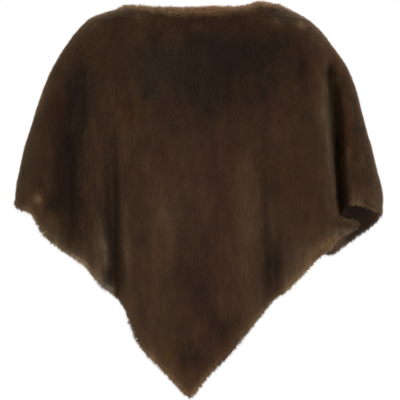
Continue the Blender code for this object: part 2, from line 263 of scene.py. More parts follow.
shade = {
    # Soft patches of painted light and shade on the pile: middle across and its height, half
    # width, half length, tilt in degrees, and how much lighter in stops. A glow is painted rim
    # light at an edge, how many stops lighter the pile is there, or painted shade where it is
    # negative, at places across. All places are those before folding.
    "front": (
        # chest
        (0.045, -0.105, 0.095, 0.08, 0, -0.7), (-0.05, -0.085, 0.15, 0.06, 0, -0.2),
        (0.155, -0.115, 0.06, 0.06, 0, -0.35),
        # between the right arm and the body
        (-0.228, -0.17, 0.024, 0.08, -8, -0.2),
        # ridges down the front
        (-0.081, -0.38, 0.018, 0.12, 0, 0.4), (-0.055, -0.37, 0.016, 0.07, 0, 0.35),
        (0.081, -0.4, 0.02, 0.13, 0, 0.45),
        # low on the front
        (0, -0.52, 0.024, 0.06, 0, -0.5), (-0.027, -0.49, 0.014, 0.05, 0, -0.3),
        (0.036, -0.59, 0.022, 0.03, -20, -0.45), (0.135, -0.473, 0.012, 0.045, 6, -0.55),
        # beside the narrow trough
        (-0.18, -0.435, 0.009, 0.032, 0, 0.8), (-0.16, -0.517, 0.008, 0.011, 0, 1.4),
        (-0.147, -0.335, 0.008, 0.05, 0, -0.45), (-0.132, -0.45, 0.009, 0.09, 0, 0.45),
        # lip of the deep crease
        (0.236, -0.29, 0.008, 0.13, 5.5, 0.75), (0.225, -0.196, 0.005, 0.018, 5, 0.6),
        (0.254, -0.118, 0.008, 0.02, 0, 0.6), (0.218, -0.23, 0.012, 0.12, 4, 0.2),
        # along the hem on both sides, and the right arm
        (-0.225, -0.452, 0.015, 0.09, 45, 0.5), (-0.302, -0.21, 0.018, 0.11, -12, 0.35),
        (0.17, -0.478, 0.014, 0.08, -50, 0.3),
        # corner under the left arm
        (0.236, -0.424, 0.018, 0.055, -48, 0.42), (0.249, -0.41, 0.007, 0.012, 0, 0.8),
        (0.253, -0.374, 0.006, 0.014, 0, 2.4),
        # foot of the left arm
        (0.305, -0.348, 0.035, 0.02, 0, 0.35), (0.322, -0.366, 0.012, 0.014, 0, 0.5),
        # lower chest, left side, top of the right arm's fold
        (0, -0.175, 0.1, 0.045, 0, -0.35), (-0.19, -0.17, 0.02, 0.05, 0, -0.3),
        (0.133, -0.39, 0.012, 0.055, 0, 0.75), (-0.218, -0.155, 0.022, 0.06, 0, -0.6),
        # foot of the right arm
        (-0.24, -0.41, 0.045, 0.045, 0, 0.45), (-0.308, -0.352, 0.014, 0.022, 0, 0.35),
        (-0.295, -0.352, 0.008, 0.011, 0, 1.8), (-0.322, -0.35, 0.012, 0.016, 0, -0.5),
        (-0.261, -0.388, 0.011, 0.016, 0, 0.6), (-0.256, -0.43, 0.01, 0.016, 0, 0.5),
        (-0.278, -0.36, 0.012, 0.018, 0, -0.85),
        # near the point
        (-0.008, -0.643, 0.03, 0.028, 0, -0.8), (0.072, -0.573, 0.015, 0.016, -30, -0.6),
        (-0.074, -0.548, 0.018, 0.02, 0, 0.45), (-0.027, -0.517, 0.014, 0.025, 0, -0.35),
        (-0.027, -0.632, 0.014, 0.02, 0, -0.35), (0.036, -0.578, 0.016, 0.015, 0, -0.3),
        (-0.002, -0.612, 0.004, 0.02, 35, 0.45),
        # down the body and the arms
        (0.19, -0.383, 0.012, 0.016, 0, -0.4), (-0.054, -0.445, 0.014, 0.05, 0, 0.35),
        (0.217, -0.435, 0.014, 0.022, -45, 0.4), (0.137, -0.4, 0.012, 0.08, 0, 0.25),
        (-0.184, -0.2, 0.007, 0.03, 0, -0.35), (-0.182, -0.365, 0.008, 0.02, 0, -0.45),
        (0.3, -0.215, 0.018, 0.045, -12, -0.25), (0.302, -0.262, 0.012, 0.042, -10, 0.3),
        (0.33, -0.31, 0.01, 0.06, -8, 0.4), (-0.275, -0.14, 0.02, 0.05, -30, 0.5),
        (0.11, -0.08, 0.06, 0.02, 0, -0.25),
        # top and foot of the deep crease
        (0.236, -0.122, 0.007, 0.022, 0, -1), (0.254, -0.394, 0.007, 0.007, 0, -0.9),
        # upper body
        (0.187, -0.11, 0.012, 0.045, 0, -0.5), (0.09, -0.174, 0.013, 0.02, 0, -0.4),
        (-0.016, -0.145, 0.018, 0.018, 0, -0.4), (-0.214, -0.118, 0.015, 0.018, 0, -0.55),
        # painted highlights on tufts near the neck, and a painted shadow
        (-0.187, -0.033, 0.012, 0.009, 0, 0.55), (-0.104, -0.025, 0.014, 0.01, 0, 0.9),
        (-0.004, -0.041, 0.014, 0.008, 0, 0.95), (0.095, -0.024, 0.014, 0.009, 0, 0.6),
        (0.137, -0.029, 0.012, 0.009, 0, 1.4), (-0.074, -0.03, 0.012, 0.008, 0, 0.5),
        (-0.148, -0.023, 0.01, 0.008, 0, -0.5), (0.18, -0.034, 0.01, 0.008, 0, 1.3),
        # left shoulder and beside the deep crease
        (0.24, -0.095, 0.013, 0.014, 0, 0.7), (0.244, -0.188, 0.006, 0.022, 0, 0.4),
        (0.244, -0.292, 0.005, 0.022, 0, -0.4),
        # small patches all over the front
        (-0.233, -0.213, 0.008, 0.024, 0, 0.8), (0.228, -0.366, 0.008, 0.02, 0, 0.25),
        (0.16, -0.06, 0.018, 0.012, 0, -0.4), (-0.094, -0.152, 0.014, 0.016, 0, -0.35),
        (0.011, -0.516, 0.012, 0.016, 0, -0.35), (0.112, -0.453, 0.01, 0.018, 0, 0.35),
        (0.187, -0.44, 0.012, 0.015, 0, 0.4), (-0.058, -0.496, 0.012, 0.018, 0, -0.35),
        (-0.131, -0.437, 0.008, 0.018, 0, 0.35), (-0.128, -0.514, 0.009, 0.018, 0, -0.4),
        (-0.092, -0.429, 0.014, 0.022, 0, -0.35), (0.041, -0.075, 0.018, 0.016, 0, -0.35),
        (0.063, -0.244, 0.014, 0.02, 0, -0.35), (0.286, -0.215, 0.01, 0.022, 0, -0.35),
        (0.117, -0.399, 0.01, 0.018, 0, 0.35), (-0.092, -0.237, 0.014, 0.02, 0, -0.32),
        (0.003, -0.264, 0.014, 0.02, 0, 0.32),
    ),
    # Narrow bands of painted light and shade with clear sides: place across at the top and
    # foot, height of the top and foot, half width, and how much lighter in stops
    "frontBands": (
        # in the deep crease and on its two sides
        (0.2585, 0.261, -0.262, -0.405, 0.0045, 1), (0.268, 0.27, -0.25, -0.37, 0.005, 1.05),
        (0.2485, 0.252, -0.12, -0.25, 0.007, 1.35),
        # its lip
        (0.226, 0.24, -0.13, -0.3, 0.008, 0.3),
        # beside the narrow trough
        (-0.17, -0.166, -0.42, -0.485, 0.006, 1.2),
        # arm to body
        (-0.2125, -0.21, -0.105, -0.225, 0.006, -0.4), (-0.245, -0.243, -0.22, -0.35, 0.009, -0.35),
    ),
    "backBands": (
        (0.23, 0.236, -0.12, -0.42, 0.007, -0.4), (-0.233, -0.238, -0.12, -0.4, 0.007, -0.4),
        (0.112, 0.12, -0.33, -0.5, 0.004, 0.6),
    ),
    "bandFade": 0.016,  # over this length at each end
    "frontNeckGlow": ((-0.18, 1.3), (-0.13, 2), (-0.06, 3.2), (0.03, 3.4), (0.06, 2.7),
                      (0.13, 2.6), (0.18, 3.2)),
    "frontHemGlow": ((-0.34, 0.7), (-0.315, 1.4), (-0.29, 1.5), (-0.275, 1.5), (-0.26, 2.3),
                     (-0.21, 2.4), (-0.188, 1.4), (-0.17, 1.9), (-0.14, 0.9), (-0.12, 0.6),
                     (-0.1, 1.5), (-0.06, 1.4), (-0.02, 1.8), (0.03, 1.8), (0.05, 1), (0.09, 1.1),
                     (0.12, 1.8), (0.15, 1.9), (0.2, 1.5), (0.24, 0.9), (0.252, 0.7),
                     (0.2565, -1.2), (0.268, -1.2), (0.2735, 0.6), (0.278, 1.4), (0.29, 1.4),
                     (0.31, 0.4), (0.325, 0.4), (0.342, 0.8)),
    "back": (
        (-0.035, -0.105, 0.1, 0.08, 0, -0.65), (0.06, -0.085, 0.15, 0.07, 0, -0.25),
        (0.236, -0.24, 0.028, 0.14, 6, -0.7), (-0.24, -0.25, 0.028, 0.14, -6, -0.7),
        (0.085, -0.38, 0.018, 0.12, 0, 0.4), (-0.07, -0.4, 0.02, 0.13, 0, 0.45),
        (0.01, -0.5, 0.024, 0.06, 0, -0.45), (-0.03, -0.59, 0.022, 0.03, 20, -0.45),
        (-0.15, -0.45, 0.012, 0.06, -6, -0.45), (0.15, -0.42, 0.012, 0.12, 0, -0.3),
        (0.29, -0.385, 0.04, 0.022, -35, -1.2),
    ),
    "backNeckGlow": ((-0.18, 2), (-0.05, 2.9), (0.06, 2.8), (0.18, 1.8)),
    "backHemGlow": ((-0.34, 1.4), (-0.2, 2), (0, 1.4), (0.16, 1.7), (0.25, 1.6),
                    (0.275, 2), (0.3, 0.8), (0.34, 0.3)),
    # Tints that come and go: middle across and its height, half width, half length, tilt,
    # and how much redder and bluer against green, in stops
    "frontTints": (
        # chest
        (-0.081, -0.12, 0.06, 0.075, 0, -0.26, 0.1), (0, -0.08, 0.09, 0.04, 0, -0.12, 0.08),
        (0.14, -0.19, 0.045, 0.045, 0, 0.18, 0.12),
        # down the front
        (-0.02, -0.33, 0.06, 0.11, 0, 0.05, 0.18), (0.124, -0.388, 0.022, 0.08, 0, -0.2, 0.05),
        (0.181, -0.343, 0.035, 0.1, 0, 0, -0.14), (0.03, -0.57, 0.03, 0.045, 0, 0.14, 0),
        (-0.02, -0.675, 0.03, 0.025, 0, 0.04, -0.25),
        # beside the narrow trough, and the hem below it
        (-0.163, -0.43, 0.025, 0.08, 0, -0.25, 0.2), (-0.235, -0.45, 0.06, 0.022, -40, -0.15, 0.25),
        # deep crease, left arm and right shoulder
        (0.235, -0.234, 0.018, 0.07, 0, -0.15, 0.18), (0.272, -0.216, 0.02, 0.04, 0, 0.2, -0.05),
        (0.29, -0.372, 0.03, 0.018, 0, -0.22, 0), (-0.26, -0.09, 0.03, 0.035, 0, -0.12, -0.08),
        # neck
        (0, -0.01, 0.055, 0.018, 0, 0.2, 0),
        # foot of the right arm
        (-0.302, -0.355, 0.024, 0.024, 0, 0.16, -0.28),
        # small tints all over the front
        (0.226, -0.125, 0.016, 0.022, 0, 0, -0.5), (-0.054, -0.63, 0.018, 0.022, 0, 0.15, -0.45),
        (0.162, -0.45, 0.022, 0.02, 0, 0, 0.45), (0.126, -0.505, 0.02, 0.036, 0, 0, 0.38),
        (-0.126, -0.199, 0.022, 0.022, 0, 0.26, -0.3), (-0.172, -0.515, 0.02, 0.02, 0, -0.4, 0.35),
        (0.25, -0.412, 0.01, 0.014, 0, -0.3, 0.25),
        # left arm, chest and left side
        (0.28, -0.26, 0.022, 0.06, 0, 0.08, -0.22), (0.07, -0.14, 0.045, 0.04, 0, 0, -0.18),
        (0.16, -0.3, 0.035, 0.06, 0, 0.05, -0.12),
    ),
    "backTints": (
        (0.07, -0.125, 0.065, 0.075, 0, -0.22, 0.1), (-0.15, -0.2, 0.045, 0.045, 0, 0.16, 0.1),
        (0.015, -0.35, 0.06, 0.11, 0, 0.05, 0.16), (-0.13, -0.38, 0.022, 0.08, 0, -0.2, 0.05),
        (0.2, -0.33, 0.04, 0.09, 0, -0.08, -0.12), (-0.02, -0.58, 0.03, 0.045, 0, 0.14, 0),
        (0.02, -0.66, 0.03, 0.025, 0, 0.04, -0.2), (-0.27, -0.28, 0.03, 0.06, 0, 0.1, -0.08),
    ),
    "troughShade": 1.1,  # stops of painted shade at the bottom of a deep trough
    "troughDepth": 0.026,
    "ridgeLight": 30,  # stops of painted light for each metre that a ridge stands out
    # painted rim light along the side seams, in stops, at places across
    "seamGlow": ((-0.34, 0.1), (-0.32, 0.4), (-0.28, 0.8), (-0.18, 1.4), (-0.1, 0.9),
                 (0.12, 0.6), (0.17, 1.2), (0.22, 1.7), (0.26, 1.1), (0.285, 0.2),
                 (0.3, 0), (0.325, 0.9), (0.34, 0.7)),
    "neckReach": 0.0125,  # how far the painted glow reaches from each edge
    "hemReach": 0.018,
    "seamReach": 0.06,
}


def smoothCurve(heights, values, at):
    # a column of a table read between its rows, with no overshoot
    order = np.argsort(heights)
    x, y = np.asarray(heights, float)[order], np.asarray(values, float)[order]
    step = np.diff(x)
    rise = np.diff(y) / step
    slope = np.zeros_like(y)
    slope[0], slope[-1] = rise[0], rise[-1]
    before, after = rise[:-1], rise[1:]
    onward = before * after > 0.0
    slope[1:-1][onward] = 2.0 * (before * after)[onward] / (before + after)[onward]
    at = np.clip(at, x[0], x[-1])
    row = np.clip(np.searchsorted(x, at) - 1, 0, len(x) - 2)
    t = (at - x[row]) / step[row]
    upper = (1 + 2 * t) * (1 - t) ** 2 * y[row] + t * (1 - t) ** 2 * step[row] * slope[row]
    lower = t ** 2 * (3 - 2 * t) * y[row + 1] + t ** 2 * (t - 1) * step[row] * slope[row + 1]
    return upper + lower


def ringPoint(angle, height):
    # angle 0 is the right arm seam, pi/2 the front, pi the left seam
    heights = [ring[0] for ring in form["rings"]]
    left, right, front, back, fullness, spread = (
        smoothCurve(heights, [ring[i] for ring in form["rings"]], height) for i in range(1, 7))
    across = -np.cos(angle)
    across = across * (1.0 + spread * (1.0 - across ** 2))
    halfWidth = (left + right) / 2 + across * (right - left) / 2
    reach = np.where(np.sin(angle) >= 0.0, -front, back)
    depth = np.sqrt(np.maximum(1.0 - across ** 2, 0.0))
    return halfWidth * across, reach * depth * (1.0 + fullness * across ** 2)


def softStep(share):
    share = np.clip(share, 0.0, 1.0)
    return share * share * (3 - 2 * share)


def foldShift(folds, dents, facing, x, height):
    shiftX, shiftY = np.zeros_like(x), np.zeros_like(x)
    for topAcross, footAcross, top, foot, halfWidth, topDepth, footDepth, lean in folds:
        down = np.clip((top - height) / (top - foot), 0.0, 1.0)
        start = softStep((top - height) / form["foldFade"])
        centre = topAcross + (footAcross - topAcross) * down
        depth = start * (topDepth + (footDepth - topDepth) * down)
        inward = depth * np.exp(-((x - centre) / halfWidth) ** 2)
        turn = math.radians(lean) * softStep(
            (down - form["leanFrom"]) / (form["leanFull"] - form["leanFrom"]))
        shiftX += inward * np.sin(turn)
        shiftY -= facing * inward * np.cos(turn)
    for dent in dents:
        shiftY -= facing * softPatch(dent, x, height)
    return shiftX, shiftY


def clothPoint(angle, height):
    x, y = ringPoint(angle, height)
    frontX, frontY = foldShift(form["frontFolds"], form["frontDents"], -1, x, height)
    backX, backY = foldShift(form["backFolds"], form["backDents"], 1, x, height)
    onFront = np.sin(angle) > 0.0
    ease = np.clip(np.abs(np.sin(angle)) / form["seamEase"], 0.0, 1.0)
    x = x + ease * np.where(onFront, frontX, backX)
    y = y + ease * np.where(onFront, frontY, backY)
    rise = sum(high * np.exp(-((x - across) / halfWidth) ** 2)
               for across, halfWidth, high in form["rises"])
    rise = rise * np.exp(height / form["riseFade"])
    return np.stack([x, y, height + onFront * rise], axis=-1)


def softBand(band, x, height):
    topAcross, footAcross, top, foot, halfWidth, amount = band
    down = np.clip((top - height) / (top - foot), 0.0, 1.0)
    aside = (x - topAcross - (footAcross - topAcross) * down) / halfWidth
    ends = softStep(np.minimum(top - height, height - foot) / shade["bandFade"])
    return amount * ends * np.exp(-aside ** 4)


def softPatch(patch, x, height):
    across, middle, halfWidth, halfLength, tilt, amount = patch
    turn = math.radians(tilt)
    sideways, along = x - across, height - middle
    u = (sideways * math.cos(turn) + along * math.sin(turn)) / halfWidth
    v = (along * math.cos(turn) - sideways * math.sin(turn)) / halfLength
    return amount * np.exp(-u ** 2 - v ** 2)


def hemHeight(angle):
    x, _ = ringPoint(angle, np.full_like(angle, form["evenHeight"]))
    heights = np.zeros_like(x)
    for offset in (-form["hemRounding"], 0.0, form["hemRounding"]):
        front = np.interp(x + offset, *zip(*form["frontHem"]))
        back = np.interp(x + offset, *zip(*form["backHem"]))
        heights += np.where(np.sin(angle) >= 0.0, front, back) / 3
    return heights


def equalLengths(points, values, count):
    steps = np.linalg.norm(np.diff(points, axis=0), axis=1)
    length = np.concatenate([[0.0], np.cumsum(steps)])
    return np.interp(np.linspace(0.0, length[-1], count + 1), length, values)


def clothGrid(start, end, columns, rows):
    # the outer face of one panel, as columns of points from the neck edge to the hem, with
    # its folds and without them
    fine = np.linspace(start, end, form["fineSteps"])
    across = clothPoint(fine, np.full_like(fine, form["evenHeight"]))
    angles = equalLengths(across, fine, columns)
    neck = -form["neckDip"] * np.sin(angles) ** 4
    grid, unfolded = [], []
    for angle, top, hem in zip(angles, neck, hemHeight(angles)):
        fine = top + (hem - top) * np.linspace(0.0, 1.0, form["fineSteps"]) ** 2
        x, y = ringPoint(np.full_like(fine, angle), fine)
        heights = equalLengths(np.stack([x, y, fine], axis=-1), fine, rows)
        angle = np.full_like(heights, angle)
        grid.append(clothPoint(angle, heights))
        unfolded.append(np.stack([*ringPoint(angle, heights), heights], axis=-1))
    return np.array(grid), np.array(unfolded)


def unit(vectors):
    return vectors / np.maximum(np.linalg.norm(vectors, axis=-1, keepdims=True), 1e-12)


def gridNormals(grid):
    # outward, from the lines of the grid
    sideways = np.gradient(grid, axis=0)
    down = np.gradient(grid, axis=1)
    return unit(np.cross(down, sideways))


def gridMesh(name, grid):
    columns, rows = grid.shape[:2]
    index = np.arange(columns * rows).reshape(columns, rows)
    faces = np.stack([index[:-1, :-1], index[:-1, 1:], index[1:, 1:], index[1:, :-1]], axis=-1)
    mesh = bpy.data.meshes.new(name)
    mesh.from_pydata(grid.reshape(-1, 3).tolist(), [], faces.reshape(-1, 4).tolist())
    mesh.shade_smooth()
    return mesh


def writeAttributes(mesh, **given):
    for name, values in given.items():
        values = np.asarray(values, np.float32).ravel()
        vector = len(values) == 3 * len(mesh.vertices)
        made = mesh.attributes.new(name, 'FLOAT_VECTOR' if vector else 'FLOAT', 'POINT')
        made.data.foreach_set("vector" if vector else "value", values)


def writeMap(mesh, name, points):
    # a flat map that gives each vertex one place
    corner = np.zeros(len(mesh.loops), np.int32)
    mesh.loops.foreach_get("vertex_index", corner)
    layer = mesh.uv_layers.new(name=name)
    layer.data.foreach_set("uv", points[corner].astype(np.float32).ravel())


# Finishes

fur = {
    # colours of the pile from darkest to lightest, at places from 0 to 1; painted light and shade
    # and the mottle pick the place
    "colours": (
        (0.00, (0.0052, 0.0036, 0.0025, 1.0)),
        (0.28, (0.0188, 0.0110, 0.0069, 1.0)),
        (0.50, (0.0425, 0.0209, 0.0110, 1.0)),
        (0.70, (0.0715, 0.0395, 0.0205, 1.0)),
        (0.90, (0.1580, 0.0960, 0.0500, 1.0)),
        (1.00, (0.2900, 0.1800, 0.0960, 1.0)),
    ),
    "stops": 4.2,  # from one end of those colours to the other
    "redder": (1.05, 0.990, 0.99, 1.0),  # tints that come and go over the cloth
    "golder": (0.96, 1.015, 0.95, 1.0),
    "rootShade": -0.65,  # stops, at the foot of a tuft
    "tipShade": 0.30,
    "tuftSpread": 0.10,  # difference from tuft to tuft
    "mottle": 0.34,  # difference from place to place
    "coarseScale": 22.0,
    "fineScale": 62.0,
    "mottleStretch": (1.0, 1.0, 0.45),  # the patches are longer down the cloth
    "mottleSwing": 3.0,
    "tintScale": 14.0,
    "tintPlace": 3.0,
    # A redder tint lifts red by the first share and shifts green and blue by the second, so
    # that the brightness stays
    "redShare": 0.65,
    "restShare": -0.35,
    "specular": 0.05,
    "roughness": 0.65,
    "sheen": 0.65,
    "sheenRoughness": 0.30,
    "sheenTint": (0.85, 0.55, 0.32, 1.0),
}
bed = {  # the cloth between the tufts
    "roughness": 0.9,
    "sheen": 0.1,
    "sheenRoughness": 0.5,
    "footShare": 0.6,  # share of the shade at a tuft's foot
}
knit = {
    "colour": (0.046, 0.0280, 0.0185, 1.0),
    "shade": (0.030, 0.0190, 0.0125, 1.0),
    "roughness": 0.85,
    "sheen": 0.15,
    "sheenRoughness": 0.5,
    "edgeLight": 0.25,  # how far it follows the pile's painted light and shade, the glow along the edges included
    "mottle": 0.6,
    "mottleShare": 0.5,
    "ribsPerMetre": 640.0,
    "rowsToRibs": 0.7,  # rows of stitches for each rib
    "ribDepth": 0.3,  # how much ribs and rows show in the colour
    "rowDepth": 0.2,
    "middleTone": 0.5,
    "ribHeight": 0.0003,
}


def makeMottle():
    # patches of lighter and darker pile, in stops
    group = bpy.data.node_groups.new("pileMottle", 'ShaderNodeTree')
    for name, value in (("Amount", fur["mottle"]), ("Coarse Scale", fur["coarseScale"]),
                        ("Fine Scale", fur["fineScale"])):
        group.interface.new_socket(name, in_out='INPUT', socket_type='NodeSocketFloat')
        group.interface.items_tree[name].default_value = value
    for name, kind in (("Stops", 'Float'), ("Tint", 'Color')):
        group.interface.new_socket(name, in_out='OUTPUT', socket_type='NodeSocket' + kind)
    given = addNode(group, "NodeGroupInput")
    place = addNode(group, "ShaderNodeMapping", {
        "Vector": out(addNode(group, "ShaderNodeTexCoord"), "Object"),
        "Scale": fur["mottleStretch"]})
    coarse, fine = (
        addNode(group, "ShaderNodeTexNoise", {
            "Vector": out(place), "Scale": out(given, size), "Detail": detail}).outputs[0]
        for size, detail in (("Coarse Scale", 2.0), ("Fine Scale", 1.0)))
    both = calculate(group, 'SUBTRACT', calculate(group, 'ADD', coarse, fine), 1.0)
    swing = calculate(group, 'MULTIPLY', both, fur["mottleSwing"])
    hue = addNode(group, "ShaderNodeTexNoise", {
        "Vector": out(place), "Scale": fur["tintScale"], "Detail": 1.0, "W": fur["tintPlace"],
    }, noise_dimensions='4D')
    # the noise keeps near its middle, so its range is widened
    share = calculate(group, 'MULTIPLY_ADD', hue.outputs[0], 3.0, -1.0)
    addNode(group, "NodeGroupOutput", {
        "Stops": calculate(group, 'MULTIPLY', swing, out(given, "Amount")),
        "Tint": mixColour(group, share, fur["redder"], fur["golder"])})
    return group


pileMottle = makeMottle()


def newMaterial(name, finish):
    material = bpy.data.materials.new(name)
    material.use_nodes = True
    shader = material.node_tree.nodes["Principled BSDF"]
    for socket, value in (
            ("Roughness", finish["roughness"]), ("Specular IOR Level", fur["specular"]),
            ("Sheen Weight", finish["sheen"]), ("Sheen Roughness", finish["sheenRoughness"]),
            ("Sheen Tint", fur["sheenTint"])):
        shader.inputs[socket].default_value = value
    return material, material.node_tree, shader


def attribute(tree, name, part="Fac"):
    return out(addNode(tree, "ShaderNodeAttribute", attribute_name=name), part)


def mottled(tree, amount):
    mottle = addNode(tree, "ShaderNodeGroup", node_tree=pileMottle)
    mottle.inputs["Amount"].default_value = amount
    return mottle


def pileColour(tree, extra):
    # the pile's colour at its painted light and shade, with mottle, and so many stops more
    mottle = mottled(tree, fur["mottle"])
    # the painted light and shade from the cloth, plus the mottle
    stops = calculate(tree, 'ADD', attribute(tree, "napTone"), out(mottle, "Stops"))
    stops = calculate(tree, 'ADD', stops, extra)
    place = calculate(tree, 'MULTIPLY_ADD', stops, 1.0 / fur["stops"], 0.5)
    ramp = addNode(tree, "ShaderNodeValToRGB", {0: place})
    elements = ramp.color_ramp.elements
    (elements[0].position, elements[0].color), *between, (
        elements[1].position, elements[1].color) = fur["colours"]
    for position, colour in between:
        elements.new(position).color = colour
    colour = ramp.outputs[0]
    for tint in (out(mottle, "Tint"), attribute(tree, "napTint", "Vector")):
        colour = mixColour(tree, 1.0, colour, tint, 'MULTIPLY')
    return colour


def makePileMaterial():
    material, tree, shader = newMaterial("pileFur", fur)
    along = calculate(tree, 'MULTIPLY_ADD', attribute(tree, "alongTuft"),
                      fur["tipShade"] - fur["rootShade"], fur["rootShade"])
    single = calculate(tree, 'MULTIPLY_ADD', attribute(tree, "tuftTone"),
                       2.0 * fur["tuftSpread"], -fur["tuftSpread"])
    tree.links.new(pileColour(tree, calculate(tree, 'ADD', along, single)),
                   shader.inputs["Base Color"])
    return material


def makePileBed():
    # the cloth between the tufts, where the pile is dense and dark
    material, tree, shader = newMaterial("pileBed", bed)
    colour = pileColour(tree, fur["rootShade"] * bed["footShare"])
    tree.links.new(colour, shader.inputs["Base Color"])
    return material


def makeKnit():
    # the smooth wrong side of the cloth, a fine knit
    material, tree, shader = newMaterial("knitBacking", knit)
    place = addNode(tree, "ShaderNodeUVMap", uv_map="panelMap")
    split = addNode(tree, "ShaderNodeSeparateXYZ", {0: out(place)})
    turns = knit["ribsPerMetre"] * 2 * math.pi
    stitch = knit["middleTone"]
    for axis, share, depth in (("Y", knit["rowsToRibs"], knit["rowDepth"]),
                               ("X", 1.0, knit["ribDepth"])):
        wave = calculate(tree, 'SINE', calculate(tree, 'MULTIPLY', out(split, axis),
                                                 turns * share))
        stitch = calculate(tree, 'MULTIPLY_ADD', wave, depth, stitch)
    patchy = calculate(tree, 'MULTIPLY_ADD', out(mottled(tree, knit["mottle"]), "Stops"),
                       knit["mottleShare"], stitch)
    # a share of the pile's painted light and shade: lighter near the edges, darker in the shaded
    # pocket
    patchy = calculate(tree, 'MULTIPLY_ADD', attribute(tree, "napTone"), knit["edgeLight"], patchy)
    colour = mixColour(tree, patchy, knit["shade"], knit["colour"])
    bump = addNode(tree, "ShaderNodeBump", {"Height": stitch, "Distance": knit["ribHeight"]})
    tree.links.new(colour, shader.inputs["Base Color"])
    tree.links.new(out(bump), shader.inputs["Normal"])
    return material


pileFur = makePileMaterial()
pileBed = makePileBed()
knitBacking = makeKnit()
print("finishes made")


# The two panels of cloth, each a thin closed shell

cloth = {
    "frontColumns": 210,
    "backColumns": 180,
    "rows": 74,
    "set": 0.0020,  # how far the knit lies below the top of the lying pile
    "thickness": 0.0022,
    "edgeSteps": 6,  # round the neck edge and hem
    "seamGap": 0.0002,  # clearance between the panels
}
panels = {
    "front": {
        "start": 0.0, "end": math.pi, "facing": -1, "columns": cloth["frontColumns"],
        "flat": (0.96, 0.71), "area": 0.407,
    },
    "back": {
        "start": math.pi, "end": 2 * math.pi, "facing": 1, "columns": cloth["backColumns"],
        "flat": (0.90, 0.68), "area": 0.405,
    },
}


def edgeDirection(grid, normals, row, inner):
    # straight out of the cloth at an edge, square to the edge's line and to the outward side
    away = grid[:, row] - grid[:, inner]
    line = unit(np.gradient(grid[:, row], axis=0))
    for side in (normals[:, row], line):
        away = unit(away - side * np.sum(away * side, axis=-1, keepdims=True))
    return away


def napTone(name, panel):
    # painted light and shade on the pile, in stops: patches and bands, painted shade in troughs and
    # painted light on ridges, and painted rim light at the two edges and the seams
    unfolded, lengths = panel["unfolded"], panel["lengths"]
    across = unfolded[..., 0]
    tone = np.zeros_like(across)
    for patch in shade[name]:
        tone += softPatch(patch, across, unfolded[..., 2])
    for band in shade[name + "Bands"]:
        tone += softBand(band, across, unfolded[..., 2])
    shift = panel["grid"] - unfolded
    depth = np.hypot(shift[..., 0], shift[..., 1])
    # painted shade in the troughs, painted light on the ridges
    trough = shade["troughShade"] * (np.exp(-depth / shade["troughDepth"]) - 1.0)
    inward = panel["facing"] * shift[..., 1] < 0.0
    tone += np.where(inward, trough, depth * shade["ridgeLight"])
    fromNeck, fromHem = lengths[..., 1], lengths[:, -1:, 1] - lengths[..., 1]
    fromSeam = lengths[-1:, :, 0] - np.abs(lengths[..., 0])
    neckGlow, hemGlow, seamGlow = (np.interp(across, *zip(*shade[glow])) for glow in (
        name + "NeckGlow", name + "HemGlow", "seamGlow"))
    # painted rim light along the neck edge, the hem and the seams, or painted shade where a table
    # is negative
    tone += neckGlow * np.exp(-(fromNeck / shade["neckReach"]) ** 2)
    tone += hemGlow * np.exp(-fromHem / shade["hemReach"])
    tone += seamGlow * np.exp(-fromSeam / shade["seamReach"])
    return tone


def napTint(name, panel):
    # what the pile's colour is multiplied by, at the same brightness
    across, _, height = np.moveaxis(panel["unfolded"], -1, 0)
    red, blue = np.zeros_like(across), np.zeros_like(across)
    for *patch, redder, bluer in shade[name + "Tints"]:
        share = softPatch((*patch, 1.0), across, height)
        red += redder * share
        blue += bluer * share
    rest = fur["restShare"] * red
    return np.exp2(np.stack([fur["redShare"] * red, rest, blue + rest], axis=-1))


